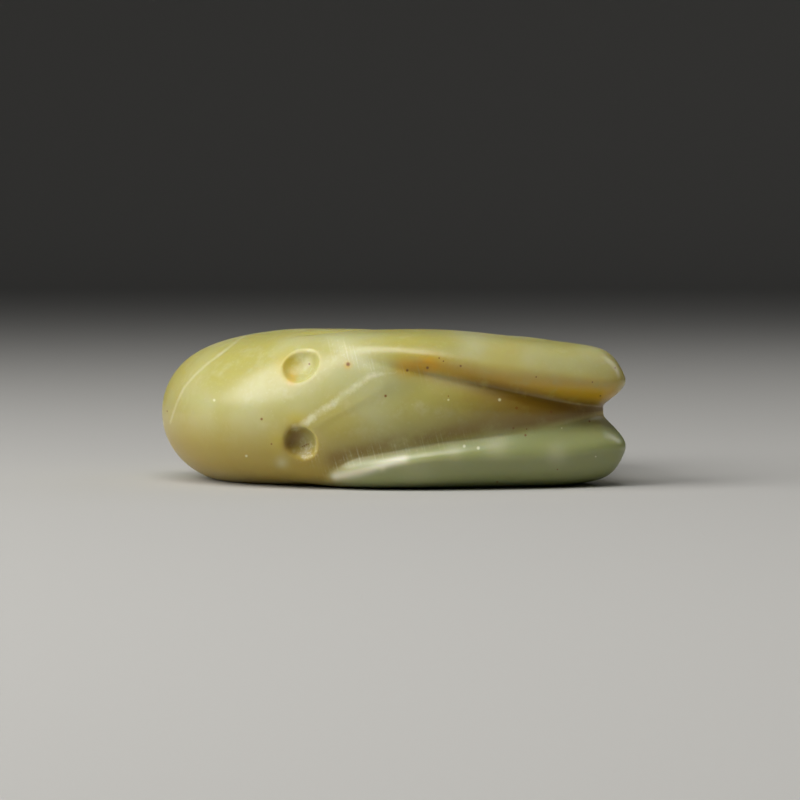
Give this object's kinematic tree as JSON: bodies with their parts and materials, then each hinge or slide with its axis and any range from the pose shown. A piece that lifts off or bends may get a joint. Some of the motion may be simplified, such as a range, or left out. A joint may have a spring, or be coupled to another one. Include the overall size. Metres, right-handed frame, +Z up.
{
  "type": "jade pig dragon",
  "caption": "Carved jade pig dragon: a thick slit ring lying on its side, with a domed head, drilled eyes and two long swept-back ears parted by a notch.",
  "frame": {"origin": "under the middle of the carving, on the face it lies on", "axes": "+Z up through the thickness, +X from the snout towards the ear tips, -Y out of the crown of the head"},
  "size_m": [0.0786, 0.0882, 0.026],
  "materials": {
    "jade": "polished yellow-green nephrite, slightly translucent"
  },
  "bodies": {
    "root": {"pig_dragon": "jade"}
  },
  "joints": []
}
